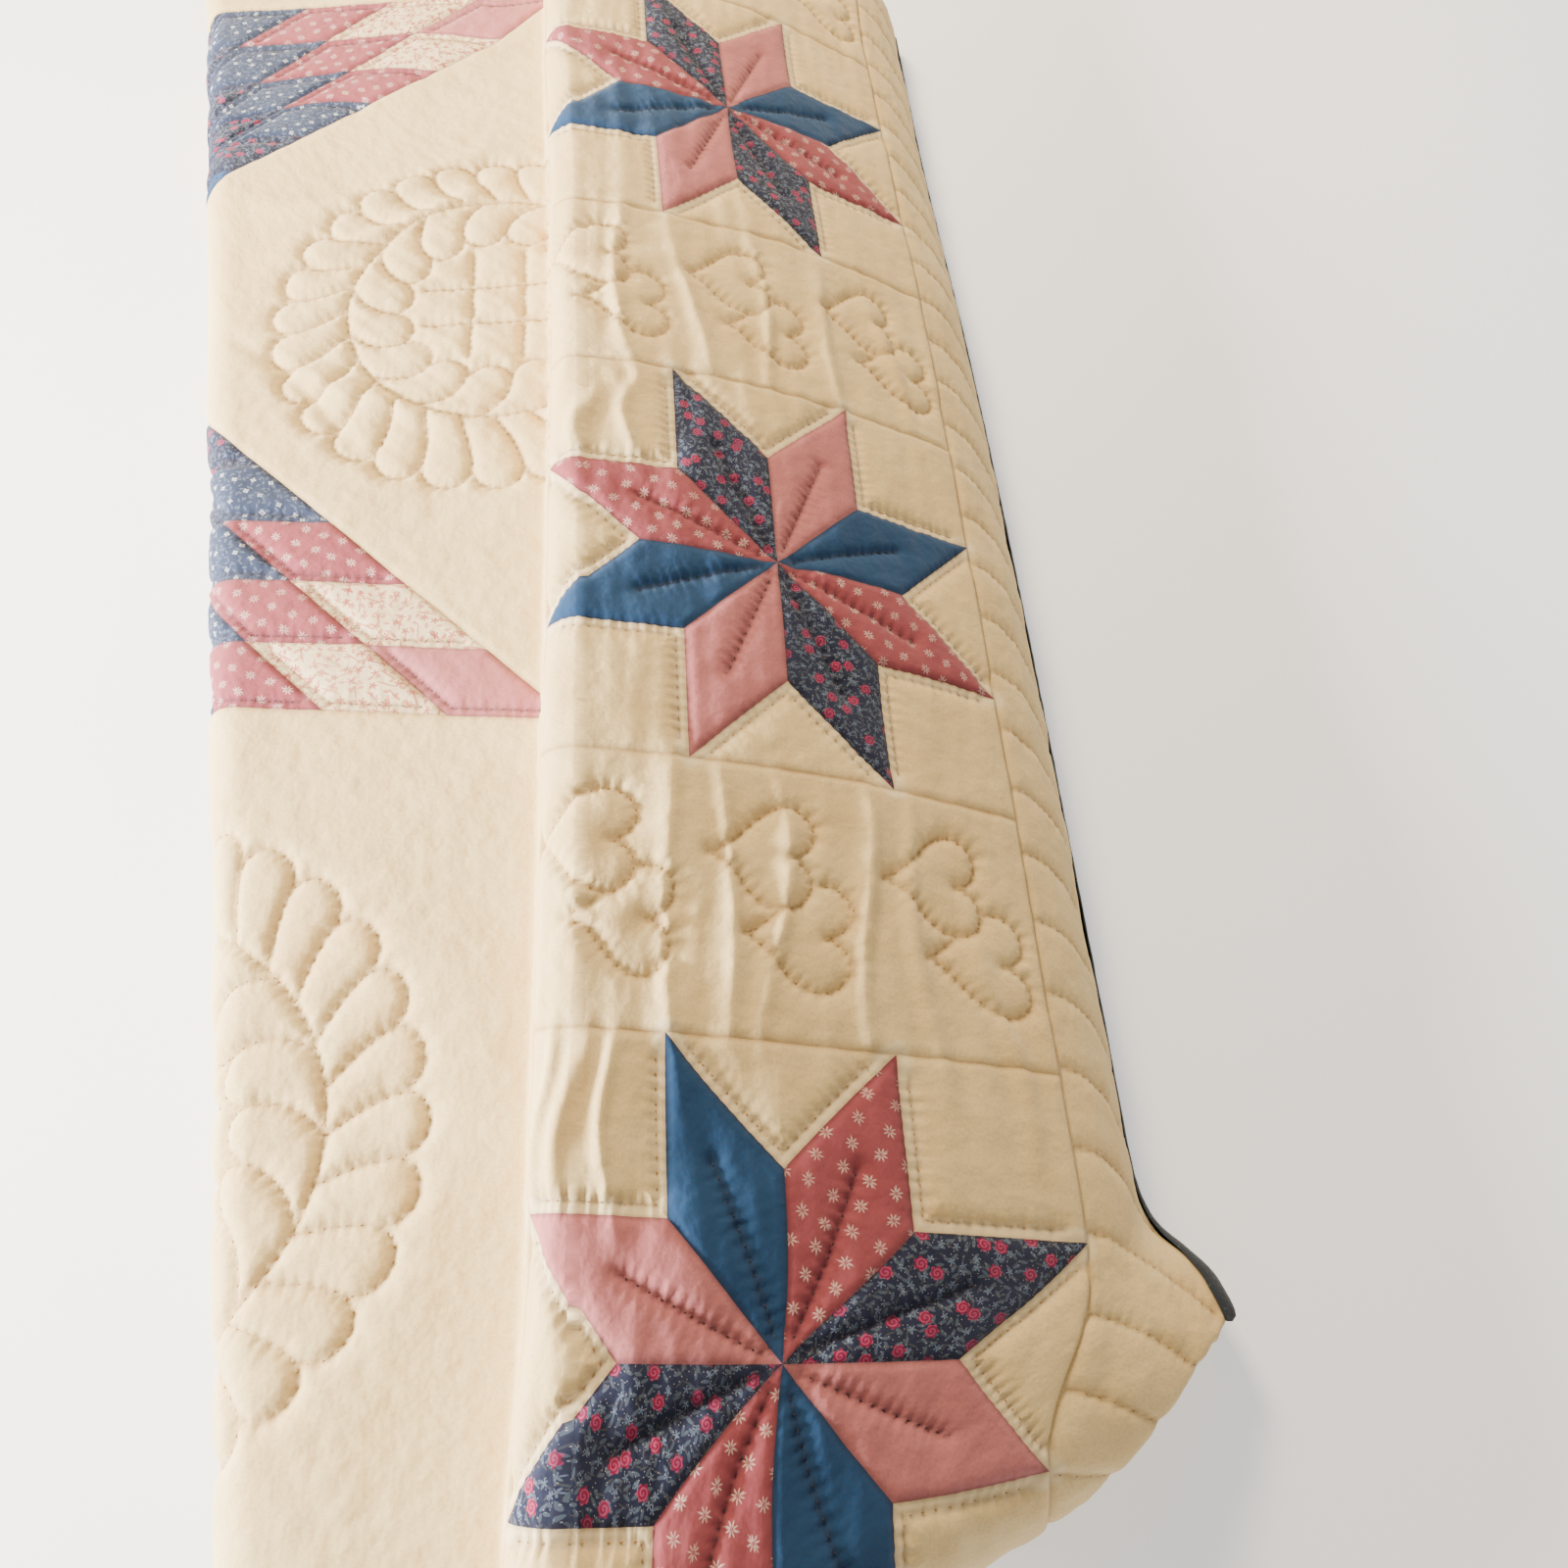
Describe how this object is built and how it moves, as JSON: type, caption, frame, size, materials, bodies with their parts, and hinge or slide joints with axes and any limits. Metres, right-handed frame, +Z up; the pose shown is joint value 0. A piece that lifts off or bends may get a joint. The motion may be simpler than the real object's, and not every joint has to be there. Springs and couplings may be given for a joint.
{
  "type": "folded patchwork star quilt",
  "caption": "Patchwork star quilt folded into a long soft pile, its star border on top and its bound edge hanging to the floor.",
  "frame": {"origin": "on the floor under the middle of the pile's bounding box", "axes": "+Z up, +Y along the folds towards the back, +X across them towards the hanging border"},
  "size_m": [0.7244, 1.3658, 0.1842],
  "materials": {
    "quilt_cotton": "matt",
    "binding_cotton": "matt"
  },
  "bodies": {
    "root": {"quilt": "quilt_cotton", "hem_binding_upper": "binding_cotton", "hem_binding_lower": "binding_cotton", "end_binding_upper": "binding_cotton", "end_binding_lower": "binding_cotton"}
  },
  "joints": []
}
